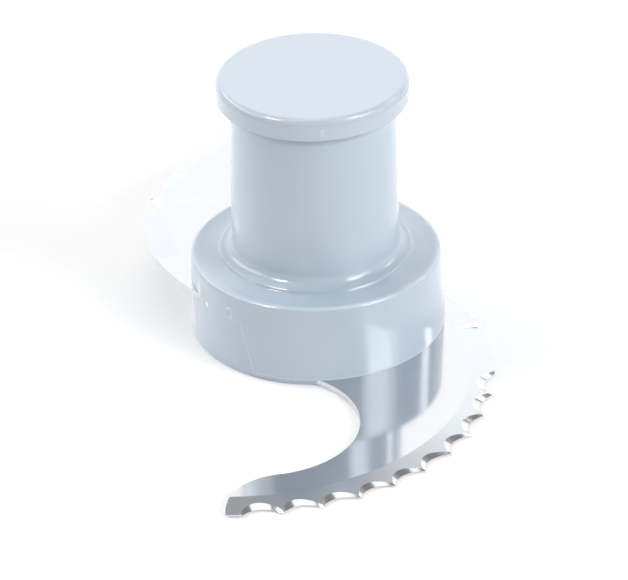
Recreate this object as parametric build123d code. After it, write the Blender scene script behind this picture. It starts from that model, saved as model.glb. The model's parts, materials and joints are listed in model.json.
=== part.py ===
from build123d import *
import math
import os

# A food processor blade: a moulded hub, a press-in cap and two toothed sickle blades.
# The hub's axis is Z and its foot stands on Z = 0. The lower blade reaches towards -Y.
# The upper blade is the same pressing, turned half a turn about Z, one step higher.
# Lengths are in millimetres and angles in degrees, anticlockwise from +X seen from above.

# Hub, outside
COLLAR_HEIGHT = 20.3
COLLAR_LEDGE = 6.4            # width of the collar's top, outside the bead
COLLAR_DRAFT = 2.6            # the collar's wall widens downwards
RIM_ROUND = 1.0
DISH_DEPTH = 0.35             # the collar's top sinks a little between bead and rim
TUBE_RADIUS = 19.1            # right under the cap; the tube widens downwards by its draft
TUBE_LENGTH = 39.5            # from the collar's top to the cap's seat
TUBE_DRAFT = 0.8
FOOT_FILLET = 2.2             # hollow round where the tube meets its bead
BEAD_LAND = 0.45              # flat left on the bead, outside that round
BEAD_RISE = 0.8
BEAD_SLOPE = 0.5              # how far the bead's flank leans out
BEAD_ROUND = 0.6

# Parting line: over the lower blade on one side, stepped up to under the upper blade on the other
PARTING_STEP = 0.09           # the lower mould half's wall stands this much further in
LOWER_WALL_DRAFT = 0.5        # that wall narrows downwards
FOOT_TAPER = 1.1              # on the lower blade's side, the foot narrows by this much
FOOT_ROUND = 0.4
STEP_BEARING = 60.0           # where the step lies at the lower level
STEP_SLANT = 7.4              # it leans by this much up to the higher level

# Hub, inside
TUBE_WALL = 3.1               # round the bore that goes over the bowl's column
BORE_LEAD_IN = 0.8
BORE_STEP = 1.2               # the wall is this much thicker over the column bore
MOUTH_WALL = 2.8              # round the tube's open mouth, which takes the cap's plug
DRIVE_BORE_RADIUS = 4.5       # socket for the drive shaft, with a slot each side for its key
DRIVE_SLOT_WIDTH = 2.4
DRIVE_SLOT_DEPTH = 1.5
DRIVE_BOSS_WALL = 3.0
DRIVE_BOSS_LENGTH = 12.0
DRIVE_PLATE = 2.0             # closes the boss and its ribs at the top
BOSS_RIBS = 6
RIB_THICKNESS = 2.2

# Marks of moulding on the collar's side, just above the higher parting line
PIN_MARK_BEARING = -133.8
PIN_MARK_RISE = 1.6
PIN_MARK_RADIUS = 1.3
PIN_MARK_LINE = 0.35
GATE_MARK_BEARING = -150.8
GATE_MARK_RISE = 0.1
GATE_MARK_RADIUS = 0.9
MARK_DEPTH = 0.15

# Cap
CAP_OVERHANG = 3.2            # past the tube, all round
CAP_THICKNESS = 5.5
CAP_TOP_ROUND = 1.3
CAP_UNDER_ROUND = 0.7
CAP_LINE_STEP = 0.07          # its parting line, right under the top round
CAP_ROOF = 2.2
PLUG_DEPTH = 4.6
PLUG_WALL = 1.6
PLUG_CLEARANCE = 0.05         # all round, between plug and mouth
PLUG_END_GAP = 1.2            # from the plug's end down to the drive plate
CAP_GATE_BEARING = -85.0
CAP_GATE_WIDTH = 1.0
CAP_GATE_HEIGHT = 2.2
CAP_GATE_RISE = 0.08

# Blade, seen from above
BLADE_THICKNESS = 1.2
LOWER_BLADE_LEVEL = 0.5       # underside of the lower blade above the hub's foot
BLADE_STEP = 13.0             # from the lower blade up to the upper one
EYE_COVER = 1.8               # collar outside the eye, the ring that is moulded in
EYE_BORE_WALL = 3.2           # plastic between the eye and the column bore
ANCHOR_HOLES = 6
ANCHOR_HOLE_SHARE = 0.49      # of the eye ring's width
BAY_BEARING = -105.4          # from the hub's axis to the middle of the hollow back edge
NOSE_RADIUS = 14.2            # rounded back of the point, tangent to the bay
END_FACE = 0.95               # short straight face between the nose and the point
FIRST_TOOTH_X = 40.6          # the tooth nearest the hub
FIRST_TOOTH_Y = -26.9
TOOTH_ARC_RADIUS = 58.0       # the arc that the points of the teeth lie on
TOOTH_ARC_START = 0.3         # bearing of the first tooth on that arc
POINT_LAND = 3.9              # along the arc, from the last hollow to the point
PLAIN_EDGE_RADIUS = 50.0      # untoothed edge, from the first tooth to the heel
HEEL_REACH = 2.5              # from the eye out to the heel
HEEL_BEARING = 20.7

# Ground edge
BEVEL_WIDTH = 3.7             # less than the tooth arc's radius
BEVEL_SHIFT_X = -1.8          # the bevel's arc has its middle beside the tooth arc's
BEVEL_SHIFT_Y = 2.5
BEVEL_SLOPE = 8.0
RUNOUT_BEARING = 18.5         # where the grinding starts, on the bevel's inner line
RUNOUT_SKEW = 5.5             # its end face is this much off square to that line
RUNOUT_SLOPE = 45.0
SCALLOPS = 10
TOOTH_PITCH = 9.15            # from tooth to tooth along the arc
SCALLOP_PLACE = 5.8           # from a tooth to the wheel's path beside it, along the arc
SCALLOP_DEPTH = 2.25
SCALLOP_RADIUS = 10.6         # of the round wheel that grinds each hollow
SCALLOP_TILT = 28.0           # the wheel's path runs down through the edge
SCALLOP_LEAN = 15.0           # and leans towards the hub, which hooks the teeth

# Levels and radii that follow
LOWER_PARTING = LOWER_BLADE_LEVEL + BLADE_THICKNESS
UPPER_PARTING = LOWER_BLADE_LEVEL + BLADE_STEP
CAP_SEAT = COLLAR_HEIGHT + TUBE_LENGTH
CAP_RADIUS = TUBE_RADIUS + CAP_OVERHANG
CAP_MOUTH_RADIUS = TUBE_RADIUS - MOUTH_WALL
TUBE_FOOT_RADIUS = TUBE_RADIUS + TUBE_LENGTH * math.tan(math.radians(TUBE_DRAFT))
BEAD_RADIUS = TUBE_FOOT_RADIUS + FOOT_FILLET + BEAD_LAND
BEAD_BASE_RADIUS = BEAD_RADIUS + BEAD_SLOPE
COLLAR_RADIUS = BEAD_BASE_RADIUS + COLLAR_LEDGE
COLUMN_BORE_RADIUS = TUBE_RADIUS - TUBE_WALL
POCKET_RADIUS = COLUMN_BORE_RADIUS - BORE_STEP
DRIVE_PLATE_TOP = CAP_SEAT - PLUG_DEPTH - PLUG_END_GAP
DRIVE_BOSS_TOP = DRIVE_PLATE_TOP - DRIVE_PLATE
COLUMN_BORE_DEPTH = DRIVE_BOSS_TOP - DRIVE_BOSS_LENGTH
DRIVE_BOSS_RADIUS = DRIVE_BORE_RADIUS + DRIVE_BOSS_WALL
DRIVE_SLOT_REACH = DRIVE_BORE_RADIUS + DRIVE_SLOT_DEPTH
EYE_RADIUS = COLLAR_RADIUS - EYE_COVER
EYE_BORE_RADIUS = COLUMN_BORE_RADIUS + EYE_BORE_WALL
BEVEL_RADIUS = TOOTH_ARC_RADIUS - BEVEL_WIDTH


def polar(radius: float, bearing: float) -> Vector:
    """Point at a radius and bearing from the origin, in the XY plane."""
    turn = math.radians(bearing)
    return Vector(radius * math.cos(turn), radius * math.sin(turn))


def bearing_of(point: Vector) -> float:
    """Bearing of a point, seen from the origin."""
    return math.degrees(math.atan2(point.Y, point.X))


def arc(centre: Vector, radius: float, start: float, end: float) -> Edge:
    """Arc about a centre, from one bearing to another, clockwise if end is less."""
    return CenterArc(centre, radius, start, end - start)


def turned(profile: Sketch) -> Part:
    """Solid of revolution about Z from a profile drawn as (radius, height)."""
    return revolve(Plane.XZ * profile, Axis.Z)


def corner(profile: Sketch, radius: float, height: float) -> Vertex:
    """The profile's corner nearest to a place."""
    return profile.vertices().sort_by_distance((radius, height, 0))[0]


def rounded(profile: Sketch, radius: float, height: float, size: float) -> Sketch:
    """The profile with one of its corners rounded."""
    return fillet(corner(profile, radius, height), size)


def collar_radius(height: float) -> float:
    """Radius of the collar's drafted wall at a height, above the parting line."""
    return COLLAR_RADIUS + (COLLAR_HEIGHT - height) * math.tan(math.radians(COLLAR_DRAFT))


def upper_form() -> Part:
    """What the upper mould half shapes: collar, dished top, bead and tube."""
    bead_top = COLLAR_HEIGHT + BEAD_RISE
    dish_middle = BEAD_BASE_RADIUS + COLLAR_LEDGE / 2
    edges = Polyline(
        (BEAD_BASE_RADIUS, COLLAR_HEIGHT),
        (BEAD_RADIUS, bead_top),
        (TUBE_FOOT_RADIUS, bead_top),
        (TUBE_RADIUS, CAP_SEAT),
        (0, CAP_SEAT),
        (0, 0),
        (collar_radius(0), 0),
        (COLLAR_RADIUS, COLLAR_HEIGHT),
    ) + ThreePointArc(
        (COLLAR_RADIUS, COLLAR_HEIGHT),
        (dish_middle, COLLAR_HEIGHT - DISH_DEPTH),
        (BEAD_BASE_RADIUS, COLLAR_HEIGHT),
    )
    profile = make_face(edges)
    profile = rounded(profile, TUBE_FOOT_RADIUS, bead_top, FOOT_FILLET)
    profile = rounded(profile, BEAD_RADIUS, bead_top, BEAD_ROUND)
    profile = rounded(profile, BEAD_BASE_RADIUS, COLLAR_HEIGHT, BEAD_ROUND)
    profile = rounded(profile, COLLAR_RADIUS, COLLAR_HEIGHT, RIM_ROUND)
    return turned(profile)


def lower_wall() -> Part:
    """The wall below the higher parting line, on the upper blade's side."""
    top_radius = collar_radius(UPPER_PARTING) - PARTING_STEP
    foot_radius = top_radius - UPPER_PARTING * math.tan(math.radians(LOWER_WALL_DRAFT))
    profile = make_face(Polyline(
        (0, 0),
        (foot_radius, 0),
        (top_radius, UPPER_PARTING),
        (0, UPPER_PARTING),
        close=True,
    ))
    return turned(rounded(profile, foot_radius, 0, FOOT_ROUND))


def foot_band() -> Part:
    """The narrow tapered band below the lower parting line, on the lower blade's side."""
    profile = make_face(Polyline(
        (0, 0),
        (collar_radius(0) - FOOT_TAPER, 0),
        (collar_radius(LOWER_PARTING) - PARTING_STEP, LOWER_PARTING),
        (0, LOWER_PARTING),
        close=True,
    ))
    return turned(profile) & extrude(half_disc(STEP_BEARING + 180, 0), LOWER_PARTING)


def half_disc(bearing: float, height: float) -> Sketch:
    """Half of a disc wider than the collar, on the upper blade's side of a diameter."""
    reach = 2 * COLLAR_RADIUS
    half = Circle(reach) & Pos(0, reach) * Rectangle(2 * reach, 2 * reach)
    return Pos(0, 0, height) * Rot(0, 0, bearing) * half


def below_parting() -> Part:
    """Everything under the stepped parting surface between the two mould halves."""
    reach = 2 * COLLAR_RADIUS
    slab = Cylinder(reach, LOWER_PARTING, align=(Align.CENTER, Align.CENTER, Align.MIN))
    raised_side = loft([
        half_disc(STEP_BEARING, LOWER_PARTING),
        half_disc(STEP_BEARING - STEP_SLANT, UPPER_PARTING),
    ], ruled=True)
    return slab + raised_side


def column_bore() -> Part:
    """Bore over the bowl's column, with a lead-in at its mouth."""
    profile = make_face(Polyline(
        (0, 0),
        (COLUMN_BORE_RADIUS + BORE_LEAD_IN, 0),
        (COLUMN_BORE_RADIUS, BORE_LEAD_IN),
        (COLUMN_BORE_RADIUS, COLUMN_BORE_DEPTH),
        (0, COLUMN_BORE_DEPTH),
        close=True,
    ))
    return turned(profile)


def boss_pockets() -> Part:
    """Hollows between the ribs that carry the drive boss, open downwards."""
    ring = Circle(POCKET_RADIUS) - Circle(DRIVE_BOSS_RADIUS)
    spoke = Pos(POCKET_RADIUS, 0) * Rectangle(2 * POCKET_RADIUS, RIB_THICKNESS)
    for rib in range(BOSS_RIBS):
        ring -= Rot(0, 0, rib * 360 / BOSS_RIBS) * spoke
    return extrude(Pos(0, 0, COLUMN_BORE_DEPTH) * ring, DRIVE_BOSS_LENGTH)


def drive_bore() -> Part:
    """Round socket with two drive slots, right through the boss and its plate."""
    section = Circle(DRIVE_BORE_RADIUS) + Rectangle(2 * DRIVE_SLOT_REACH, DRIVE_SLOT_WIDTH)
    return extrude(Pos(0, 0, COLUMN_BORE_DEPTH) * section, DRIVE_BOSS_LENGTH + DRIVE_PLATE)


def cap_mouth() -> Part:
    """Open top of the tube, above the drive plate."""
    mouth = Pos(0, 0, DRIVE_PLATE_TOP) * Circle(CAP_MOUTH_RADIUS)
    return extrude(mouth, CAP_SEAT - DRIVE_PLATE_TOP)


def side_mark(section: Sketch, bearing: float, height: float) -> Part:
    """Shallow cut into the collar's side, with a given section seen from outside."""
    floor = polar(collar_radius(height) - MARK_DEPTH, bearing)
    face = Plane(
        origin=(floor.X, floor.Y, height),
        x_dir=polar(1, bearing + 90),
        z_dir=polar(1, bearing),
    )
    return extrude(face * section, 10 * MARK_DEPTH)


def mould_marks() -> Part:
    """Round witness of a blade-holding pin, and the gate's dimple beside it."""
    pin_ring = Circle(PIN_MARK_RADIUS) - Circle(PIN_MARK_RADIUS - PIN_MARK_LINE)
    pin = side_mark(pin_ring, PIN_MARK_BEARING, UPPER_PARTING + PIN_MARK_RISE)
    dimple = Circle(GATE_MARK_RADIUS)
    return pin + side_mark(dimple, GATE_MARK_BEARING, UPPER_PARTING + GATE_MARK_RISE)


def hub() -> Part:
    """The moulding that holds both blades, with their seats cut to the blades' own shape."""
    body = upper_form() - below_parting() + lower_wall() + foot_band()
    body -= column_bore()
    body -= boss_pockets()
    body -= drive_bore()
    body -= cap_mouth()
    body -= mould_marks()
    body -= at_lower_level(blade_blank())
    body -= at_upper_level(blade_blank())
    return body


def cap() -> Part:
    """Round cap with a hollow plug that presses into the tube's mouth."""
    top = CAP_SEAT + CAP_THICKNESS
    line = top - CAP_TOP_ROUND - 2 * CAP_LINE_STEP
    top_radius = CAP_RADIUS - CAP_LINE_STEP
    plug_radius = CAP_MOUTH_RADIUS - PLUG_CLEARANCE
    inner_radius = plug_radius - PLUG_WALL
    profile = make_face(Polyline(
        (0, top),
        (top_radius, top),
        (top_radius, line),
        (CAP_RADIUS, line),
        (CAP_RADIUS, CAP_SEAT),
        (plug_radius, CAP_SEAT),
        (plug_radius, CAP_SEAT - PLUG_DEPTH),
        (inner_radius, CAP_SEAT - PLUG_DEPTH),
        (inner_radius, top - CAP_ROOF),
        (0, top - CAP_ROOF),
        close=True,
    ))
    profile = rounded(profile, top_radius, top, CAP_TOP_ROUND)
    profile = rounded(profile, CAP_RADIUS, CAP_SEAT, CAP_UNDER_ROUND)
    return turned(profile) + cap_gate()


def cap_gate() -> Part:
    """Small upright trace of the gate on the cap's side."""
    middle = polar(CAP_RADIUS - CAP_GATE_WIDTH / 2 + CAP_GATE_RISE, CAP_GATE_BEARING)
    height = CAP_SEAT + (CAP_THICKNESS - CAP_TOP_ROUND + CAP_UNDER_ROUND) / 2
    trace = Box(CAP_GATE_WIDTH, CAP_GATE_WIDTH, CAP_GATE_HEIGHT)
    return Pos(middle.X, middle.Y, height) * Rot(0, 0, CAP_GATE_BEARING) * trace


def tooth_arc_centre() -> Vector:
    """Middle of the arc that the teeth lie on."""
    return Vector(FIRST_TOOTH_X, FIRST_TOOTH_Y) - polar(TOOTH_ARC_RADIUS, TOOTH_ARC_START)


def tooth_bearing(along_arc: float) -> float:
    """Bearing on the toothed arc, at a length from its first tooth towards the point."""
    return TOOTH_ARC_START - math.degrees(along_arc / TOOTH_ARC_RADIUS)


def bay_radius(nose_centre: Vector) -> float:
    """Radius of the arc that touches both the eye and the nose, with its middle on its bearing."""
    along = nose_centre.dot(polar(1, BAY_BEARING))
    reach = nose_centre.length**2 + EYE_RADIUS**2 - NOSE_RADIUS**2 - 2 * EYE_RADIUS * along
    return reach / (2 * (along + NOSE_RADIUS - EYE_RADIUS))


def blade_outline() -> Sketch:
    """Plan of one blade before grinding: eye, plain edge, toothed arc, nose and bay."""
    first_tooth = Vector(FIRST_TOOTH_X, FIRST_TOOTH_Y)
    point_turn = tooth_bearing(SCALLOPS * TOOTH_PITCH + POINT_LAND)
    point = tooth_arc_centre() + polar(TOOTH_ARC_RADIUS, point_turn)
    nose_start = point + Vector(0, END_FACE)
    nose_centre = nose_start + Vector(NOSE_RADIUS, 0)
    bay = bay_radius(nose_centre)
    bay_centre = polar(EYE_RADIUS + bay, BAY_BEARING)
    nose_turn = bearing_of(nose_centre - bay_centre)
    heel = polar(EYE_RADIUS + HEEL_REACH, HEEL_BEARING)
    eye_turn = HEEL_BEARING + math.degrees(math.acos(EYE_RADIUS / heel.length))
    return make_face([
        arc(tooth_arc_centre(), TOOTH_ARC_RADIUS, TOOTH_ARC_START, point_turn),
        Line(point, nose_start),
        arc(nose_centre, NOSE_RADIUS, 180, 180 + nose_turn),
        arc(bay_centre, bay, nose_turn, 180 + BAY_BEARING),
        arc(Vector(0, 0), EYE_RADIUS, BAY_BEARING, eye_turn - 360),
        Line(polar(EYE_RADIUS, eye_turn), heel),
        RadiusArc(heel, first_tooth, PLAIN_EDGE_RADIUS),
    ])


def blade_blank() -> Part:
    """Flat pressing with its eye and the holes that the plastic flows through."""
    anchor_circle = (EYE_BORE_RADIUS + EYE_RADIUS) / 2
    anchor_hole = ANCHOR_HOLE_SHARE * (EYE_RADIUS - EYE_BORE_RADIUS) / 2
    plan = blade_outline() - Circle(EYE_BORE_RADIUS)
    plan -= PolarLocations(anchor_circle, ANCHOR_HOLES) * Circle(anchor_hole)
    return extrude(plan, BLADE_THICKNESS)


def bevel_cut() -> Part:
    """What the long bevel takes off the upper face, up to its run-out near the hub."""
    reach = TOOTH_ARC_RADIUS
    drop = reach * math.tan(math.radians(BEVEL_SLOPE))
    wedge = make_face(Polyline(
        (BEVEL_RADIUS, BLADE_THICKNESS),
        (BEVEL_RADIUS + reach, BLADE_THICKNESS - drop),
        (BEVEL_RADIUS + reach, BLADE_THICKNESS + drop),
        (BEVEL_RADIUS, BLADE_THICKNESS + drop),
        close=True,
    ))
    centre = Pos(tooth_arc_centre() + Vector(BEVEL_SHIFT_X, BEVEL_SHIFT_Y))
    ramp_size = 4 * (BEVEL_RADIUS + reach)
    above_ramp = extrude(Rectangle(ramp_size, ramp_size), ramp_size)
    above_ramp = Rot(0, 0, RUNOUT_SKEW) * Rot(RUNOUT_SLOPE, 0, 0) * above_ramp
    start = centre * Rot(0, 0, RUNOUT_BEARING) * Pos(BEVEL_RADIUS, 0, BLADE_THICKNESS)
    return (centre * turned(wedge)) & (start * above_ramp)


def scallop_cut(bearing: float) -> Part:
    """Round hollow ground through the edge at a bearing on the toothed arc."""
    mouth = tooth_arc_centre() + polar(TOOTH_ARC_RADIUS, bearing)
    outwards = polar(1, bearing + SCALLOP_LEAN)
    root = mouth - outwards * SCALLOP_DEPTH
    tilt = math.radians(SCALLOP_TILT)
    path = outwards * math.cos(tilt) - Vector(0, 0, math.sin(tilt))
    lift = outwards * math.sin(tilt) + Vector(0, 0, math.cos(tilt))
    wheel = Plane(origin=root + lift * SCALLOP_RADIUS, z_dir=path)
    return wheel * Cylinder(SCALLOP_RADIUS, 3 * SCALLOP_RADIUS)


def blade() -> Part:
    """One finished blade, with its bevel and its row of hooked teeth."""
    body = blade_blank() - bevel_cut()
    for tooth in range(SCALLOPS):
        body -= scallop_cut(tooth_bearing(tooth * TOOTH_PITCH + SCALLOP_PLACE))
    return body


def at_lower_level(piece: Part) -> Part:
    """Place a blade where the lower one sits."""
    return Pos(0, 0, LOWER_BLADE_LEVEL) * piece


def at_upper_level(piece: Part) -> Part:
    """Place a blade where the upper one sits, half a turn round."""
    return Pos(0, 0, LOWER_BLADE_LEVEL + BLADE_STEP) * Rot(0, 0, 180) * piece


def main() -> None:
    """Build every piece and write it to its own file."""
    os.makedirs("parts", exist_ok=True)
    finished_blade = blade()
    pieces = {
        "hub": hub(),
        "cap": cap(),
        "lower_blade": at_lower_level(finished_blade),
        "upper_blade": at_upper_level(finished_blade),
    }
    for name, piece in pieces.items():
        export_step(piece, f"parts/{name}.step")


main()
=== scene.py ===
import json
import logging
import math
from dataclasses import dataclass, field
from enum import Enum

import bpy
from mathutils import Matrix, Vector

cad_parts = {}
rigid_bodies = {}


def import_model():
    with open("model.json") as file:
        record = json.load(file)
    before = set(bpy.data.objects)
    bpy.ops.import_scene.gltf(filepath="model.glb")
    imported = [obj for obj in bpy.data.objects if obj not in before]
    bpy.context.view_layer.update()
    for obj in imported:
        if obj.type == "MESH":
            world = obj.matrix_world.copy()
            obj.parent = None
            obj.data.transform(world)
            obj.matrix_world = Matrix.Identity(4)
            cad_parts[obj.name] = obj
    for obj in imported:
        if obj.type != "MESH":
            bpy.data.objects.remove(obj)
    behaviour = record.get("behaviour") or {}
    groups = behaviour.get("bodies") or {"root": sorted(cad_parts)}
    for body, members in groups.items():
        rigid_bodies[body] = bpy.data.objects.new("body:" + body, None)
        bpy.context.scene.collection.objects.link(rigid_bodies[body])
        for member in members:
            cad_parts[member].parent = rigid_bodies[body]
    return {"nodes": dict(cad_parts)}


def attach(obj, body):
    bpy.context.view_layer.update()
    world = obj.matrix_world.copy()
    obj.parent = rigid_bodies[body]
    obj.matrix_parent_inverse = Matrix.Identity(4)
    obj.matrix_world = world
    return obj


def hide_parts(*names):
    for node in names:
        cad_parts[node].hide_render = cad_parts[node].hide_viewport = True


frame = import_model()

Colour = tuple[float, float, float]
Point = tuple[float, float, float]
Span = tuple[float, float]
# Two levels of the slow mottling, and how strongly a trace shows at each.
PatchFade = tuple[float, float, float, float]

WHITE: Colour = (1.0, 1.0, 1.0)
# The middle of the arc that the lower blade's bevel is ground on.
BEVEL_CENTRE = (-0.0192, -0.0247)

log = logging.getLogger("processor_blade")


class Body(Enum):
    """The body that every piece rides on."""

    ROOT = "root"


class Slot(Enum):
    """The record's material slot that the blades take."""

    STEEL = "blade_steel"


class Face(Enum):
    """The kinds of face on a blade, in the order of its material slots."""

    ROLLED = 0
    BEVEL = 1
    HOLLOW = 2
    SHEARED = 3


class Graph:
    """A shader node tree, with short calls to add nodes and join them."""

    def __init__(self, tree: bpy.types.NodeTree) -> None:
        """Start on an empty tree.

        Args:
            tree: the material's, world's or group's node tree.
        """
        self.tree = tree
        tree.nodes.clear()

    def add(self, kind: str, **settings: object) -> bpy.types.Node:
        """Add one node.

        Args:
            kind: the node's type without the leading "ShaderNode".
            settings: the node's own properties.

        Returns:
            The new node.
        """
        node = self.tree.nodes.new("ShaderNode" + kind)
        for name, value in settings.items():
            setattr(node, name, value)
        return node

    def join(self, start: bpy.types.NodeSocket, end: bpy.types.NodeSocket) -> None:
        """Link an output to an input."""
        self.tree.links.new(start, end)

    def feed(self, end: bpy.types.NodeSocket, value: object) -> None:
        """Link a socket to an input, or write a plain value there.

        Args:
            end: the input.
            value: another node's output, or a number, colour or vector.
        """
        if isinstance(value, bpy.types.NodeSocket):
            self.join(value, end)
        else:
            end.default_value = value

    def math(self, operation: str, first: object, second: object = 0.0) -> bpy.types.NodeSocket:
        """Work on two numbers.

        Args:
            operation: the Math node's operation.
            first: a socket or number.
            second: a socket or number.

        Returns:
            The result's socket.
        """
        node = self.add("Math", operation=operation)
        self.feed(node.inputs[0], first)
        self.feed(node.inputs[1], second)
        return node.outputs[0]

    def ramp(
        self, value: object, low: float, high: float, to_low: float = 0.0, to_high: float = 1.0
    ) -> bpy.types.NodeSocket:
        """Stretch a range of a number onto another range, clamped.

        Args:
            value: the socket to stretch.
            low: the value that becomes to_low.
            high: the value that becomes to_high.
            to_low: the result at low.
            to_high: the result at high.

        Returns:
            The result's socket.
        """
        node = self.add("MapRange", clamp=True)
        self.feed(node.inputs["Value"], value)
        node.inputs["From Min"].default_value = low
        node.inputs["From Max"].default_value = high
        node.inputs["To Min"].default_value = to_low
        node.inputs["To Max"].default_value = to_high
        return node.outputs["Result"]

    def band(self, value: object, middle: float, half: float, soft: float) -> bpy.types.NodeSocket:
        """A mask that is 1 near one value and fades out beyond it.

        Args:
            value: the socket to look at.
            middle: the value in the middle of the band.
            half: half the band's width.
            soft: the width over which it fades.

        Returns:
            The mask's socket.
        """
        away = self.math("ABSOLUTE", self.math("SUBTRACT", value, middle))
        return self.ramp(away, half, half + soft, 1.0, 0.0)

    def product(self, *masks: object) -> bpy.types.NodeSocket:
        """Multiply several masks together.

        Args:
            masks: sockets or numbers.

        Returns:
            The product's socket.
        """
        result = masks[0]
        for mask in masks[1:]:
            result = self.math("MULTIPLY", result, mask)
        return result

    def distance(self, where: bpy.types.NodeSocket, point: Point) -> bpy.types.NodeSocket:
        """Measure how far the surface is from a point.

        Args:
            where: the coordinates of the surface.
            point: the point, in metres.

        Returns:
            The distance's socket.
        """
        node = self.add("VectorMath", operation="DISTANCE")
        self.join(where, node.inputs[0])
        node.inputs[1].default_value = point
        return node.outputs["Value"]

    def mix(self, share: object, first: object, second: object) -> bpy.types.NodeSocket:
        """Mix two colours.

        Args:
            share: how much of the second colour shows.
            first: a socket or colour.
            second: a socket or colour.

        Returns:
            The mixed colour's socket.
        """
        node = self.add("Mix", data_type="RGBA")
        self.feed(node.inputs["Factor"], share)
        self.feed(node.inputs["A"], rgba(first))
        self.feed(node.inputs["B"], rgba(second))
        return node.outputs["Result"]


def rgba(value: object) -> object:
    """A plain colour with its alpha added, or the value unchanged where it is a socket."""
    return (*value, 1.0) if isinstance(value, tuple) else value


def new_group(
    name: str, numbers: dict[str, float], results: tuple[str, ...]
) -> tuple[Graph, bpy.types.Node, bpy.types.Node]:
    """Start a shader node group that reads a vector and some numbers, and puts out numbers.

    Args:
        name: the group's name.
        numbers: the name and default of each number that it reads.
        results: the name of each number that it puts out.

    Returns:
        The group's graph, its input node and its output node.
    """
    tree = bpy.data.node_groups.new(name, "ShaderNodeTree")
    tree.interface.new_socket("Vector", in_out="INPUT", socket_type="NodeSocketVector")
    for label, default in numbers.items():
        socket = tree.interface.new_socket(label, in_out="INPUT", socket_type="NodeSocketFloat")
        socket.default_value = default
    for label in results:
        tree.interface.new_socket(label, in_out="OUTPUT", socket_type="NodeSocketFloat")
    graph = Graph(tree)
    return graph, tree.nodes.new("NodeGroupInput"), tree.nodes.new("NodeGroupOutput")


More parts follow.
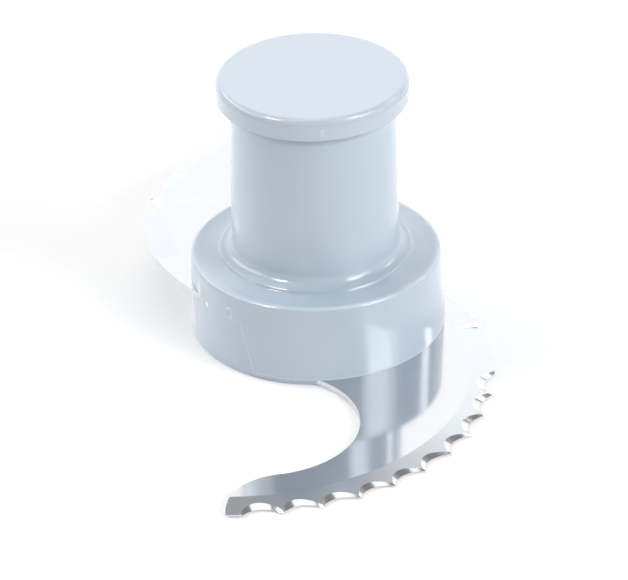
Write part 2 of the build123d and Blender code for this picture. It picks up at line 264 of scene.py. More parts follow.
class Effects:
    """The effects that several finishes share, each a node group built once."""

    patch_detail: float = 3.0
    grain_detail: float = 2.0
    line_detail: float = 3.0
    scratch_detail: float = 4.0
    chosen_cells: float = 0.985
    speck_edge: Span = (0.03, 0.10)
    scratch_edge: Span = (0.70, 0.76)
    scratch_runs: tuple[tuple[float, Point], ...] = ((0.6, (1.0, 14.0, 1.0)), (-0.9, (12.0, 1.0, 2.0)))

    def __init__(self) -> None:
        """Build the three groups."""
        self.cloud = self.build_cloud()
        self.scuffs = self.build_scuffs()
        self.drag = self.build_drag()

    def build_cloud(self) -> bpy.types.NodeTree:
        """Soft mottling and a fine grain, from noise at two sizes.

        Returns:
            The group, with a slow mask, and its sum with a fine grain as a height.
        """
        graph, given, result = new_group(
            "soft_cloud",
            {"Patch Scale": 40.0, "Grain Scale": 4000.0, "Grain Share": 0.5},
            ("Patches", "Height"),
        )
        patches = graph.add("TexNoise")
        grain = graph.add("TexNoise")
        pair = ((patches, "Patch Scale", self.patch_detail), (grain, "Grain Scale", self.grain_detail))
        for node, scale, detail in pair:
            graph.join(given.outputs["Vector"], node.inputs["Vector"])
            graph.join(given.outputs[scale], node.inputs["Scale"])
            node.inputs["Detail"].default_value = detail
        fine = graph.math("MULTIPLY", grain.outputs[0], given.outputs["Grain Share"])
        graph.join(patches.outputs[0], result.inputs["Patches"])
        graph.join(graph.math("ADD", patches.outputs[0], fine), result.inputs["Height"])
        return graph.tree

    def build_scuffs(self) -> bpy.types.NodeTree:
        """Sparse small marks: specks, and short hairline scratches in two directions.

        Returns:
            The group, with a mask for specks and one for scratches.
        """
        graph, given, result = new_group(
            "sparse_scuffs",
            {"Speck Scale": 260.0, "Scratch Scale": 90.0, "Amount": 0.5},
            ("Specks", "Scratches"),
        )
        dots = graph.add("TexVoronoi", feature="F1")
        graph.join(given.outputs["Vector"], dots.inputs["Vector"])
        graph.join(given.outputs["Speck Scale"], dots.inputs["Scale"])
        chosen = graph.math("GREATER_THAN", self.red(graph, dots.outputs["Color"]), self.chosen_cells)
        speck = graph.ramp(dots.outputs["Distance"], *self.speck_edge, 1.0, 0.0)
        graph.join(graph.product(speck, chosen, given.outputs["Amount"]), result.inputs["Specks"])
        lines: list[bpy.types.NodeSocket] = []
        for turn, stretch in self.scratch_runs:
            place = graph.add("Mapping", vector_type="POINT")
            graph.join(given.outputs["Vector"], place.inputs["Vector"])
            place.inputs["Rotation"].default_value = (turn, turn / 2, turn)
            place.inputs["Scale"].default_value = stretch
            streak = graph.add("TexNoise")
            graph.join(place.outputs[0], streak.inputs["Vector"])
            graph.join(given.outputs["Scratch Scale"], streak.inputs["Scale"])
            streak.inputs["Detail"].default_value = self.scratch_detail
            lines.append(graph.ramp(streak.outputs[0], *self.scratch_edge))
        both = graph.math("MAXIMUM", *lines)
        graph.join(graph.math("MULTIPLY", both, given.outputs["Amount"]), result.inputs["Scratches"])
        return graph.tree

    @staticmethod
    def red(graph: Graph, colour: bpy.types.NodeSocket) -> bpy.types.NodeSocket:
        """Take the red part of a colour.

        Args:
            graph: the graph to work in.
            colour: the colour's socket.

        Returns:
            The red part's socket.
        """
        parts = graph.add("SeparateColor")
        graph.join(colour, parts.inputs[0])
        return parts.outputs[0]

    def build_drag(self) -> bpy.types.NodeTree:
        """Parallel lines, as rolling or grinding leaves them.

        Returns:
            The group, with fine lines and broad bands, both running along the vector's X.
        """
        graph, given, result = new_group(
            "drag_lines",
            {"Line Scale": 9000.0, "Band Scale": 300.0, "Squeeze": 0.02},
            ("Lines", "Bands"),
        )
        parts = graph.add("SeparateXYZ")
        graph.join(given.outputs["Vector"], parts.inputs[0])
        drawn = graph.add("CombineXYZ")
        graph.join(graph.math("MULTIPLY", parts.outputs["X"], given.outputs["Squeeze"]), drawn.inputs["X"])
        graph.join(parts.outputs["Y"], drawn.inputs["Y"])
        for scale, output in (("Line Scale", "Lines"), ("Band Scale", "Bands")):
            noise = graph.add("TexNoise")
            graph.join(drawn.outputs[0], noise.inputs["Vector"])
            graph.join(given.outputs[scale], noise.inputs["Scale"])
            noise.inputs["Detail"].default_value = self.line_detail
            graph.join(noise.outputs[0], result.inputs[output])
        return graph.tree


def place_group(
    graph: Graph, group: bpy.types.NodeTree, vector: bpy.types.NodeSocket, **values: float
) -> bpy.types.Node:
    """Put a node group into a material.

    Args:
        graph: the material's graph.
        group: the shared group.
        vector: the coordinates it reads.
        values: its numbers, with _ for a space in their names.

    Returns:
        The group's node.
    """
    node = graph.add("Group", node_tree=group)
    graph.join(vector, node.inputs["Vector"])
    for name, value in values.items():
        node.inputs[name.replace("_", " ")].default_value = value
    return node


@dataclass(frozen=True)
class TraceAndPaintedLight:
    """A trace of the mould, or a painted highlight or painted shade: where it shows, its colour, and how
    far it stands out.
    """

    mask: bpy.types.NodeSocket
    colour: Colour
    rise: float


@dataclass(frozen=True)
class MouldedPlastic:
    """Satin-gloss moulded plastic with faint flow marks, a fine grain and a few scuffs."""

    name: str
    colour: Colour
    deep_colour: Colour
    gloss_roughness: float = 0.16
    gloss_dip: float = 0.03
    gloss_rise: float = 0.05
    patch_scale: float = 38.0
    tone_patches: Span = (0.35, 0.7)
    gloss_patches: Span = (0.3, 0.75)
    grain_scale: float = 5200.0
    grain_share: float = 0.35
    grain_depth: float = 0.000006
    grain_strength: float = 0.5
    scuff_amount: float = 0.4
    speck_scale: float = 230.0
    speck_share: float = 0.2
    speck_colour: Colour = (0.36, 0.41, 0.46)
    scratch_scale: float = 70.0
    scratch_roughness: float = 0.04
    refraction: float = 1.5

    def material(self, effects: Effects) -> bpy.types.Material:
        """Build the material.

        Args:
            effects: the shared node groups.

        Returns:
            The finished material.
        """
        material = bpy.data.materials.new(self.name)
        material.use_nodes = True
        graph = Graph(material.node_tree)
        where = graph.add("TexCoord").outputs["Object"]
        cloud = place_group(
            graph, effects.cloud, where,
            Patch_Scale=self.patch_scale, Grain_Scale=self.grain_scale, Grain_Share=self.grain_share,
        )
        marks = place_group(
            graph, effects.scuffs, where,
            Speck_Scale=self.speck_scale, Scratch_Scale=self.scratch_scale, Amount=self.scuff_amount,
        )
        patches = cloud.outputs["Patches"]
        colour = graph.mix(graph.ramp(patches, *self.tone_patches), self.colour, self.deep_colour)
        specks = graph.math("MULTIPLY", marks.outputs["Specks"], self.speck_share)
        colour = graph.mix(specks, colour, self.speck_colour)
        smoothest = self.gloss_roughness - self.gloss_dip
        roughest = self.gloss_roughness + self.gloss_rise
        rough = graph.ramp(patches, *self.gloss_patches, smoothest, roughest)
        scratches = graph.math("MULTIPLY", marks.outputs["Scratches"], self.scratch_roughness)
        rough = graph.math("ADD", rough, scratches)
        grain = graph.add("Bump")
        grain.inputs["Distance"].default_value = self.grain_depth
        grain.inputs["Strength"].default_value = self.grain_strength
        graph.join(cloud.outputs["Height"], grain.inputs["Height"])
        normal = grain.outputs[0]
        # Mix in each trace; on the hub some of them are painted highlights and painted shade.
        for trace in self.traces(graph, where, patches):
            colour = graph.mix(trace.mask, colour, trace.colour)
            bump = graph.add("Bump")
            bump.inputs["Distance"].default_value = trace.rise
            graph.join(trace.mask, bump.inputs["Height"])
            graph.join(normal, bump.inputs["Normal"])
            normal = bump.outputs[0]
        shader = graph.add("BsdfPrincipled")
        graph.join(colour, shader.inputs["Base Color"])
        graph.join(rough, shader.inputs["Roughness"])
        graph.join(normal, shader.inputs["Normal"])
        shader.inputs["IOR"].default_value = self.refraction
        graph.join(shader.outputs[0], graph.add("OutputMaterial").inputs[0])
        return material

    def traces(
        self, graph: Graph, where: bpy.types.NodeSocket, patches: bpy.types.NodeSocket
    ) -> list[TraceAndPaintedLight]:
        """Traces of the mould, painted highlights and painted shade, of which plain plastic has none.

        Args:
            graph: the material's graph.
            where: the piece's own coordinates.
            patches: the slow mottling, for traces that fade in and out.

        Returns:
            The traces.
        """
        return []


@dataclass(frozen=True)
class HubPlastic(MouldedPlastic):
    """The hub's plastic, with the stepped parting line, the pin's ring and the gate's spot, painted paler
    as highlights.

    A slanted step joins the low and the high part of the line. Painted shade darkens the tube under the
    cap and the collar's groove, and a painted highlight runs along the collar's rim.
    """

    # The parting line: a small raised step, painted paler along it as a highlight.
    lower_line: float = 0.0017
    upper_line: float = 0.0135
    step_bearing: float = math.radians(-120.0)
    step_slant: float = math.radians(-7.4)
    wall_radius: float = 0.0294
    bore_radius: float = 0.0272
    line_half: float = 0.00007
    line_fade: float = 0.00012
    line_end: float = 1.1
    line_patch_fade: PatchFade = (0.3, 0.6, 0.75, 1.0)
    line_rise: float = 0.00003
    high_line_share: float = 0.4
    # The pin's ring: a small raised ring, painted paler as a highlight.
    pin: Point = (-0.02038, -0.02125, 0.0151)
    ring_radius: float = 0.00113
    ring_half: float = 0.00018
    ring_share: float = 0.9
    ring_rise: float = 0.00004
    # The gate's spot, painted white as a highlight.
    gate: Point = (-0.02575, -0.01439, 0.0136)
    gate_radius: float = 0.00062
    gate_fade: float = 0.0003
    gate_rise: float = 0.00002
    # Painted shadow on the tube just under the cap.
    cap_shadow_heights: Span = (0.0570, 0.0582)
    cap_shadow_radius: float = 0.0185
    cap_shadow_share: float = 0.6
    # Painted highlight along the collar's rim, fading in and out with the mottling.
    rim_highlight_height: float = 0.0199
    rim_highlight_radius: float = 0.0280
    rim_highlight_half: float = 0.00005
    rim_highlight_soft: float = 0.00025
    rim_highlight_fade: PatchFade = (0.38, 0.6, 0.08, 0.34)
    # Painted shade in the collar's groove, fading in and out with the mottling.
    groove_height: float = 0.0203
    groove_half_height: float = 0.0008
    groove_height_fade: float = 0.0012
    groove_radius: float = 0.0238
    groove_half_width: float = 0.0036
    groove_width_fade: float = 0.0016
    groove_shade_fade: PatchFade = (0.3, 0.65, 0.25, 0.45)
    # Colours of the painted highlights (pale and white) and of the painted shade.
    pale: Colour = (0.80, 0.86, 0.93)
    white: Colour = (0.93, 0.95, 0.98)
    shade: Colour = (0.36, 0.43, 0.50)

    def traces(
        self, graph: Graph, where: bpy.types.NodeSocket, patches: bpy.types.NodeSocket
    ) -> list[TraceAndPaintedLight]:
        """The hub's own traces, with painted highlights and painted shade.

        Args:
            graph: the material's graph.
            where: the hub's own coordinates.
            patches: the slow mottling, for traces that fade in and out.

        Returns:
            The parting line, the pin's ring and the gate's spot, each painted paler as a highlight; a
            painted highlight along the collar's rim; and painted shade under the cap and in the collar's
            groove.
        """
        parts = graph.add("SeparateXYZ")
        graph.join(where, parts.inputs[0])
        across, deep, height = parts.outputs
        turn = graph.math("ARCTAN2", deep, across)
        squares = graph.math("ADD", graph.product(across, across), graph.product(deep, deep))
        radius = graph.math("SQRT", squares)
        wall = graph.math("GREATER_THAN", radius, self.bore_radius)
        # The parting line's mask; its pale colour is a painted highlight on the raised step.
        step_end = self.step_bearing + self.step_slant
        step = graph.ramp(height, self.lower_line, self.upper_line, self.step_bearing, step_end)
        aside = graph.math("MULTIPLY", graph.math("SUBTRACT", turn, step), self.wall_radius)
        front = graph.math("GREATER_THAN", aside, 0.0)
        slanted = graph.product(
            graph.band(aside, 0.0, self.line_half, self.line_fade),
            graph.math("GREATER_THAN", height, self.lower_line),
            graph.math("LESS_THAN", height, self.upper_line),
        )
        low = graph.product(
            graph.band(height, self.lower_line, self.line_half, self.line_fade),
            front,
            graph.math("LESS_THAN", turn, self.line_end),
        )
        high = graph.product(
            graph.band(height, self.upper_line, self.line_half, self.line_fade),
            graph.math("SUBTRACT", 1.0, front),
            self.high_line_share,
        )
        line = graph.math("MAXIMUM", slanted, graph.math("MAXIMUM", low, high))
        line = graph.product(line, wall, graph.ramp(patches, *self.line_patch_fade))
        # The pin's ring, painted paler as a highlight.
        from_pin = graph.distance(where, self.pin)
        ring = graph.product(
            graph.band(from_pin, self.ring_radius, self.ring_half, self.ring_half), self.ring_share
        )
        # The gate's spot, painted white as a highlight.
        from_gate = graph.distance(where, self.gate)
        spot = graph.ramp(from_gate, self.gate_radius, self.gate_radius + self.gate_fade, 1.0, 0.0)
        # Painted shadow on the tube just under the cap, in the shade colour.
        seat = graph.product(
            graph.ramp(height, *self.cap_shadow_heights),
            graph.math("GREATER_THAN", radius, self.cap_shadow_radius),
            self.cap_shadow_share,
        )
        # Painted highlight along the collar's rim.
        rim = graph.product(
            graph.band(height, self.rim_highlight_height, self.rim_highlight_half, self.rim_highlight_soft),
            graph.math("GREATER_THAN", radius, self.rim_highlight_radius),
            graph.ramp(patches, *self.rim_highlight_fade),
        )
        # Painted shade in the collar's groove.
        groove = graph.product(
            graph.band(height, self.groove_height, self.groove_half_height, self.groove_height_fade),
            graph.band(radius, self.groove_radius, self.groove_half_width, self.groove_width_fade),
            graph.ramp(patches, *self.groove_shade_fade),
        )
        # The pale and white traces are painted highlights; the shade traces are painted shade.
        return [
            TraceAndPaintedLight(line, self.pale, self.line_rise),
            TraceAndPaintedLight(ring, self.pale, self.ring_rise),
            TraceAndPaintedLight(spot, self.white, self.gate_rise),
            TraceAndPaintedLight(seat, self.shade, 0.0),
            TraceAndPaintedLight(rim, self.white, 0.0),
            TraceAndPaintedLight(groove, self.shade, 0.0),
        ]


@dataclass(frozen=True)
class CapPlastic(MouldedPlastic):
    """The cap's plastic, with the line under its rounded rim and the trace of its gate."""

    rim_line: float = 0.06386
    line_half: float = 0.00006
    line_fade: float = 0.00012
    line_patch_fade: PatchFade = (0.4, 0.62, 0.05, 0.55)
    line_depth: float = 0.00002
    outer_radius: float = 0.0223
    gate_bearing: float = math.radians(-85.0)
    gate_middle: float = 0.0622
    gate_half_width: float = 0.00045
    gate_width_fade: float = 0.0002
    gate_half_height: float = 0.0009
    gate_height_fade: float = 0.0003
    gate_share: float = 0.5
    gate_rise: float = 0.00003
    dark: Colour = (0.40, 0.45, 0.51)
    pale: Colour = (0.70, 0.76, 0.83)

    def traces(
        self, graph: Graph, where: bpy.types.NodeSocket, patches: bpy.types.NodeSocket
    ) -> list[TraceAndPaintedLight]:
        """The cap's own traces.

        Args:
            graph: the material's graph.
            where: the cap's own coordinates.
            patches: the slow mottling, for traces that fade in and out.

        Returns:
            The line round the rim and the gate's upright trace.
        """
        parts = graph.add("SeparateXYZ")
        graph.join(where, parts.inputs[0])
        across, deep, height = parts.outputs
        turn = graph.math("ARCTAN2", deep, across)
        aside = graph.math("MULTIPLY", graph.math("SUBTRACT", turn, self.gate_bearing), self.outer_radius)
        line = graph.product(
            graph.band(height, self.rim_line, self.line_half, self.line_fade),
            graph.ramp(patches, *self.line_patch_fade),
        )
        gate = graph.product(
            graph.band(aside, 0.0, self.gate_half_width, self.gate_width_fade),
            graph.band(height, self.gate_middle, self.gate_half_height, self.gate_height_fade),
            self.gate_share,
        )
        return [TraceAndPaintedLight(line, self.dark, -self.line_depth), TraceAndPaintedLight(gate, self.pale, self.gate_rise)]


@dataclass(frozen=True)
class Steel:
    """Stainless steel with lines left by rolling or grinding.

    For round lines, turn_length is what one radian round the bevel's centre counts for.
    """

    name: str
    colour: Colour
    roughness: float
    roughness_spread: float
    line_depth: float
    line_scale: float
    wave_depth: float = 0.0
    round_lines: bool = False
    line_squeeze: float = 0.02
    line_strength: float = 0.3
    line_levels: Span = (0.3, 0.72)
    wave_strength: float = 0.6
    wave_scale: float = 55.0
    band_scale: float = 260.0
    band_shade: float = 0.985
    band_levels: Span = (0.35, 0.68)
    scuff_amount: float = 0.6
    scratch_scale: float = 60.0
    scratch_roughness: float = 0.05
    turn_length: float = 0.056

    def material(self, effects: Effects) -> bpy.types.Material:
        """Build the material.

        Args:
            effects: the shared node groups.

        Returns:
            The finished material.
        """
        material = bpy.data.materials.new(self.name)
        material.use_nodes = True
        graph = Graph(material.node_tree)
        where = graph.add("TexCoord").outputs["Object"]
        along = self.line_coordinates(graph, where)
        drag = place_group(
            graph, effects.drag, along,
            Line_Scale=self.line_scale, Band_Scale=self.band_scale, Squeeze=self.line_squeeze,
        )
        cloud = place_group(graph, effects.cloud, where, Patch_Scale=self.wave_scale)
        marks = place_group(
            graph, effects.scuffs, where, Scratch_Scale=self.scratch_scale, Amount=self.scuff_amount
        )
        darker = tuple(self.band_shade * part for part in self.colour)
        colour = graph.mix(graph.ramp(drag.outputs["Bands"], *self.band_levels), self.colour, darker)
        roughest = self.roughness + self.roughness_spread
        rough = graph.ramp(drag.outputs["Lines"], *self.line_levels, self.roughness, roughest)
        scratches = graph.math("MULTIPLY", marks.outputs["Scratches"], self.scratch_roughness)
        rough = graph.math("ADD", rough, scratches)
        lines = graph.add("Bump")
        lines.inputs["Distance"].default_value = self.line_depth
        lines.inputs["Strength"].default_value = self.line_strength
        graph.join(drag.outputs["Lines"], lines.inputs["Height"])
        waves = graph.add("Bump")
        waves.inputs["Distance"].default_value = self.wave_depth
        waves.inputs["Strength"].default_value = self.wave_strength
        graph.join(cloud.outputs["Patches"], waves.inputs["Height"])
        graph.join(lines.outputs[0], waves.inputs["Normal"])
        shader = graph.add("BsdfPrincipled")
        shader.inputs["Metallic"].default_value = 1.0
        graph.join(colour, shader.inputs["Base Color"])
        graph.join(rough, shader.inputs["Roughness"])
        graph.join(waves.outputs[0], shader.inputs["Normal"])
        graph.join(shader.outputs[0], graph.add("OutputMaterial").inputs[0])
        return material

    def line_coordinates(self, graph: Graph, where: bpy.types.NodeSocket) -> bpy.types.NodeSocket:
        """Coordinates whose X runs along the lines.

        Args:
            graph: the material's graph.
            where: the piece's own coordinates.

        Returns:
            The coordinates: straight across the sheet, or outwards from the bevel's centre.
        """
        if not self.round_lines:
            return where
        place = graph.add("Mapping", vector_type="POINT")
        graph.join(where, place.inputs["Vector"])
        place.inputs["Location"].default_value = (-BEVEL_CENTRE[0], -BEVEL_CENTRE[1], 0.0)
        parts = graph.add("SeparateXYZ")
        graph.join(place.outputs[0], parts.inputs[0])
        turn = graph.math("ARCTAN2", parts.outputs["Y"], parts.outputs["X"])
        length = graph.add("VectorMath", operation="LENGTH")
        graph.join(place.outputs[0], length.inputs[0])
        polar = graph.add("CombineXYZ")
        graph.join(length.outputs["Value"], polar.inputs["X"])
        graph.join(graph.math("MULTIPLY", turn, self.turn_length), polar.inputs["Y"])
        return polar.outputs[0]


class PieceShop:
    """Calls that several pieces need."""

    merge_distance: float = 0.0000005

    @staticmethod
    def deselect() -> None:
        """Leave edit mode and select nothing."""
        if bpy.context.object and bpy.context.object.mode != "OBJECT":
            bpy.ops.object.mode_set(mode="OBJECT")
        bpy.ops.object.select_all(action="DESELECT")

    @staticmethod
    def pick(piece: bpy.types.Object) -> None:
        """Select one object and make it active.

        Args:
            piece: the object.
        """
        PieceShop.deselect()
        piece.select_set(True)
        bpy.context.view_layer.objects.active = piece

    @staticmethod
    def merged_copy(node: str, name: str) -> bpy.types.Object:
        """Copy a node's mesh into a new closed piece at the origin.

        Args:
            node: the node's name.
            name: the new piece's name.

        Returns:
            The new piece, with its doubled points merged.
        """
        PieceShop.pick(frame["nodes"][node])
        bpy.ops.object.duplicate()
        piece = bpy.context.object
        bpy.ops.object.parent_clear(type="CLEAR_KEEP_TRANSFORM")
        piece.name = name
        piece.data.name = name
        for key in [key for key in piece.keys() if key.startswith("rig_")]:
            del piece[key]
        bpy.ops.mesh.customdata_custom_splitnormals_clear()
        bpy.ops.object.mode_set(mode="EDIT")
        bpy.ops.mesh.select_all(action="SELECT")
        bpy.ops.mesh.remove_doubles(threshold=PieceShop.merge_distance)
        bpy.ops.object.mode_set(mode="OBJECT")
        return piece


@dataclass
class Blade:
    """One sheet steel blade, with its flat, ground and sheared faces told apart."""

    node: str
    turned: bool
    bevel_radius: float = 0.0543
    bevel_steepest: float = math.radians(10.0)
    flat_steepest: float = math.radians(1.0)
    upright: float = 0.05
    smooth_angle: float = math.radians(25.0)

    def build(self, finishes: dict[Face, bpy.types.Material]) -> bpy.types.Object:
        """Copy the blade, mark its edges, and give each face its finish.

        Args:
            finishes: the material for each kind of face.

        Returns:
            The dressed blade.
        """
        piece = PieceShop.merged_copy(self.node, self.node + "_steel")
        piece.data.materials.clear()
        for kind in Face:
            piece.data.materials.append(finishes[kind])
        for polygon in piece.data.polygons:
            polygon.material_index = self.kind_of(polygon).value
        self.shade(piece)
        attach(piece, Body.ROOT.value)
        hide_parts(self.node)
        return piece

    def kind_of(self, polygon: bpy.types.MeshPolygon) -> Face:
        """Tell what made a face, by its slope and place.

        Args:
            polygon: the face.

        Returns:
            The kind of face.
        """
        slope = math.acos(min(1.0, abs(polygon.normal.z)))
        side = -1.0 if self.turned else 1.0
        middle = Vector((side * polygon.center.x, side * polygon.center.y))
        from_centre = (middle - Vector(BEVEL_CENTRE)).length
        if slope < self.flat_steepest:
            return Face.ROLLED
        if polygon.normal.z > 0 and slope < self.bevel_steepest:
            return Face.BEVEL
        if from_centre > self.bevel_radius and abs(polygon.normal.z) > self.upright:
            return Face.HOLLOW
        return Face.SHEARED

    def shade(self, piece: bpy.types.Object) -> None:
        """Shade the blade smooth, with sharp edges where two kinds of face meet.

        Args:
            piece: the blade.
        """
        PieceShop.pick(piece)
        bpy.ops.object.shade_smooth_by_angle(angle=self.smooth_angle)
        mesh = piece.data
        kinds: dict[tuple[int, int], set[int]] = {}
        for polygon in mesh.polygons:
            for key in polygon.edge_keys:
                kinds.setdefault(key, set()).add(polygon.material_index)
        for edge in mesh.edges:
            if len(kinds[tuple(sorted(edge.vertices))]) > 1:
                edge.use_edge_sharp = True


@dataclass
class Mouldings:
    """The moulded hub and its cap, which keep their own solids."""

    hub_node: str = "hub"
    cap_node: str = "cap"

    def build(
        self, hub_plastic: bpy.types.Material, cap_plastic: bpy.types.Material
    ) -> list[bpy.types.Object]:
        """Dress both mouldings.

        Args:
            hub_plastic: the hub's material.
            cap_plastic: the cap's material.

        Returns:
            The dressed hub and cap.
        """
        dressed: list[bpy.types.Object] = []
        for node, material in ((self.hub_node, hub_plastic), (self.cap_node, cap_plastic)):
            piece = frame["nodes"][node]
            for slot in piece.material_slots:
                slot.material = material
            dressed.append(piece)
        return dressed


@dataclass
class Softbox:
    """A plain rectangular studio lamp that points at the object.

    Its bearing is 0 on the camera's side and 90 on the right, in degrees.
    """

    name: str
    bearing: float
    elevation: float
    distance: float
    width: float
    height: float
    brightness: float
    tint: Colour = WHITE
    glint_only: bool = False
    aim: Point = (0.0, 0.0, 0.02)

    def build(self) -> bpy.types.Object:
        """Place the lamp; one for glints alone shows in reflections and lights nothing.

        Returns:
            The lamp's object.
        """
        lamp = bpy.data.lights.new(self.name, "AREA")
        lamp.shape = "RECTANGLE"
        lamp.size = self.width
        lamp.size_y = self.height
        lamp.energy = math.pi * self.brightness * self.width * self.height
        lamp.color = self.tint
        lamp_object = bpy.data.objects.new(self.name, lamp)
        bpy.context.scene.collection.objects.link(lamp_object)
        turn = math.radians(self.bearing)
        rise = math.radians(self.elevation)
        away = Vector((math.sin(turn) * math.cos(rise), -math.cos(turn) * math.cos(rise), math.sin(rise)))
        lamp_object.location = Vector(self.aim) + away * self.distance
        lamp_object.visible_diffuse = not self.glint_only
        lamp_object.rotation_euler = away.to_track_quat("Z", "Y").to_euler()
        return lamp_object


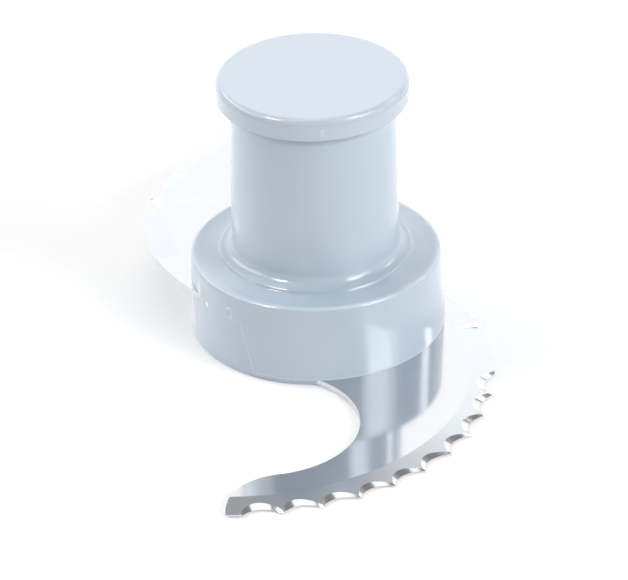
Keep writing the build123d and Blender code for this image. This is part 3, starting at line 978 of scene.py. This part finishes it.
@dataclass
class Studio:
    """Pale floor, dim room, soft lamps and the camera."""

    floor_size: float = 8.0
    floor_colour: Colour = (0.86, 0.86, 0.86)
    floor_lift: float = 0.20
    floor_gleam: float = 0.45
    room_level: float = 0.25
    low_gleam: float = 0.46
    high_gleam: float = 0.30
    gleam_edge: Span = (0.66, 0.76)
    aim: Vector = field(default_factory=lambda: Vector((-0.00068, 0.0, 0.00834)))
    camera_distance: float = 1.175
    camera_elevation: float = math.radians(30.21)
    camera_roll: float = math.radians(-1.27)
    focal_pixels: float = 5000.0
    frame_pixels: float = 628.0
    sensor: float = 36.0
    nearest: float = 0.01

    def build(self) -> None:
        """Make the whole studio."""
        self.build_floor()
        self.build_world()
        self.build_camera()
        for lamp in self.lamps():
            lamp.build()

    def lamps(self) -> list[Softbox]:
        """List the lamps by name, bearing, elevation, distance, width, height and brightness.

        Returns:
            The lamps.
        """
        return [
            Softbox("overhead", 0.0, 90.0, 1.5, 1.1, 1.1, 1.35),
            Softbox("front_right", 60.0, 31.5, 1.6, 0.76, 0.65, 4.5),
            Softbox("front_right_core", 54.0, 31.5, 1.25, 0.46, 0.46, 6.0, (0.95, 0.98, 1.0)),
            Softbox("back_right_glint", 116.0, 31.0, 1.25, 0.2, 0.4, 8.0, glint_only=True),
            Softbox("front_left_glint", 301.0, 50.0, 1.25, 0.3, 0.2, 42.0, glint_only=True),
            Softbox("front_right_glint", 60.0, 50.0, 1.25, 0.3, 0.2, 20.0, glint_only=True),
            Softbox("front_panel", 0.0, 14.0, 1.6, 2.2, 0.6, 0.5, glint_only=True),
            Softbox("back_bevel_glint", 170.0, 47.5, 1.6, 0.52, 0.2, 0.45, glint_only=True),
            Softbox("left", 255.0, 31.5, 1.6, 1.65, 0.65, 4.1),
            Softbox("behind", 180.0, 21.5, 1.6, 3.2, 1.26, 1.1),
            Softbox("high_left", 225.0, 54.0, 1.6, 0.78, 0.62, 0.35),
        ]

    def build_floor(self) -> None:
        """Lay the floor, which looks white to the camera outside the shadows."""
        PieceShop.deselect()
        bpy.ops.mesh.primitive_plane_add(size=self.floor_size, location=(0.0, 0.0, 0.0))
        floor = bpy.context.object
        floor.name = "floor"
        material = bpy.data.materials.new("pale_floor")
        material.use_nodes = True
        graph = Graph(material.node_tree)
        plain = graph.add("BsdfDiffuse")
        plain.inputs["Color"].default_value = rgba(self.floor_colour)
        lift = graph.add("Emission")
        lift.inputs["Color"].default_value = rgba(WHITE)
        rays = graph.add("LightPath").outputs
        seen = graph.math("MULTIPLY", rays["Is Camera Ray"], self.floor_lift)
        mirrored = graph.math("MULTIPLY", rays["Is Glossy Ray"], self.floor_gleam)
        graph.join(graph.math("ADD", seen, mirrored), lift.inputs["Strength"])
        both = graph.add("AddShader")
        graph.join(plain.outputs[0], both.inputs[0])
        graph.join(lift.outputs[0], both.inputs[1])
        graph.join(both.outputs[0], graph.add("OutputMaterial").inputs[0])
        floor.data.materials.append(material)

    def build_world(self) -> None:
        """White to the camera, and a dim room, darker high up, to everything else."""
        world = bpy.data.worlds.new("dim_room")
        world.use_nodes = True
        bpy.context.scene.world = world
        graph = Graph(world.node_tree)
        room = graph.add("Background")
        room.inputs["Color"].default_value = rgba(WHITE)
        rays = graph.add("LightPath").outputs
        parts = graph.add("SeparateXYZ")
        graph.join(graph.add("TexCoord").outputs["Object"], parts.inputs[0])
        gleam = graph.ramp(parts.outputs["Z"], *self.gleam_edge, self.low_gleam, self.high_gleam)
        extra = graph.product(rays["Is Glossy Ray"], graph.math("SUBTRACT", gleam, self.room_level))
        graph.join(graph.math("ADD", extra, self.room_level), room.inputs["Strength"])
        white = graph.add("Background")
        white.inputs["Color"].default_value = rgba(WHITE)
        white.inputs["Strength"].default_value = 1.0
        choice = graph.add("MixShader")
        graph.join(rays["Is Camera Ray"], choice.inputs[0])
        graph.join(room.outputs[0], choice.inputs[1])
        graph.join(white.outputs[0], choice.inputs[2])
        graph.join(choice.outputs[0], graph.add("OutputWorld").inputs[0])

    def build_camera(self) -> None:
        """Set the camera at the photograph's angle."""
        camera = bpy.data.cameras.new("camera")
        camera.lens = self.focal_pixels / self.frame_pixels * self.sensor
        camera.sensor_width = self.sensor
        camera.clip_start = self.nearest
        seat = bpy.data.objects.new("camera", camera)
        bpy.context.scene.collection.objects.link(seat)
        look = Vector((0.0, math.cos(self.camera_elevation), -math.sin(self.camera_elevation)))
        level = Vector((1.0, 0.0, 0.0))
        upright = level.cross(look)
        right = math.cos(self.camera_roll) * level + math.sin(self.camera_roll) * upright
        up = -math.sin(self.camera_roll) * level + math.cos(self.camera_roll) * upright
        turn = Matrix((right, up, -look)).transposed()
        seat.matrix_world = Matrix.Translation(self.aim - look * self.camera_distance) @ turn.to_4x4()
        bpy.context.scene.camera = seat


def main() -> None:
    """Build the part and its studio."""
    logging.basicConfig(level=logging.INFO, format="%(name)s: %(message)s")
    bpy.context.scene.view_settings.view_transform = "Standard"
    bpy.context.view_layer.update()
    effects = Effects()
    hub_plastic = HubPlastic(
        "hub_plastic_finish", colour=(0.56, 0.652, 0.74), deep_colour=(0.545, 0.637, 0.725)
    )
    cap_plastic = CapPlastic(
        "cap_plastic_finish", colour=(0.59, 0.66, 0.745), deep_colour=(0.58, 0.65, 0.735)
    )
    for moulding in Mouldings().build(hub_plastic.material(effects), cap_plastic.material(effects)):
        log.info("%s dressed", moulding.name)
    finishes = {
        Face.ROLLED: Steel(
            "rolled_steel", colour=(0.60, 0.607, 0.63), roughness=0.08, roughness_spread=0.02,
            line_depth=0.0000005, line_scale=3000.0, wave_depth=0.00001,
        ),
        Face.BEVEL: Steel(
            "ground_bevel", colour=(0.60, 0.625, 0.665), roughness=0.19, roughness_spread=0.06,
            line_depth=0.000002, line_scale=6000.0, round_lines=True,
        ),
        Face.HOLLOW: Steel(
            "ground_hollow", colour=(0.63, 0.627, 0.635), roughness=0.12, roughness_spread=0.06,
            line_depth=0.000002, line_scale=6000.0,
        ),
        Face.SHEARED: Steel(
            "sheared_edge", colour=(0.60, 0.60, 0.61), roughness=0.22, roughness_spread=0.12,
            line_depth=0.000002, line_scale=6000.0,
        ),
    }
    materials = {kind: steel.material(effects) for kind, steel in finishes.items()}
    for node, turned in (("lower_blade", False), ("upper_blade", True)):
        blade = Blade(node, turned).build(materials)
        log.info("%s dressed, %d faces", blade.name, len(blade.data.polygons))
    Studio().build()
    log.info("studio ready")


if __name__ == "__main__":
    main()
